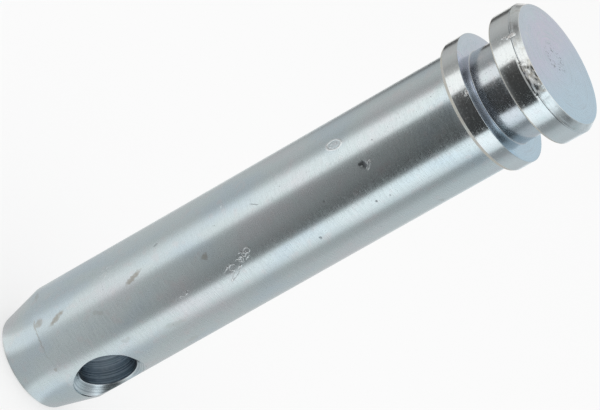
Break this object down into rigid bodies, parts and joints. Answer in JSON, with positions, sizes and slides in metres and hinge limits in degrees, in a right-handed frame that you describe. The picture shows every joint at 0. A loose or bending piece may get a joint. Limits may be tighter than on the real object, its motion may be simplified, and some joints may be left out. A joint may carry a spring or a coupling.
{
  "type": "clevis pin",
  "caption": "Round one-piece pin with a bevelled head, a lock groove and a seating collar at one end, and a tapered tip with a countersunk cross hole at the other.",
  "frame": {"origin": "centre of the flat tip end, which the pin stands on", "axes": "+Z along the pin's axis from the tip end to the head; Y along the cross hole"},
  "size_m": [0.028, 0.028, 0.1289],
  "materials": {
    "zinc_plated_steel": "bright zinc plate over fine turning marks"
  },
  "bodies": {
    "root": {"clevis_pin": "zinc_plated_steel"}
  },
  "joints": []
}
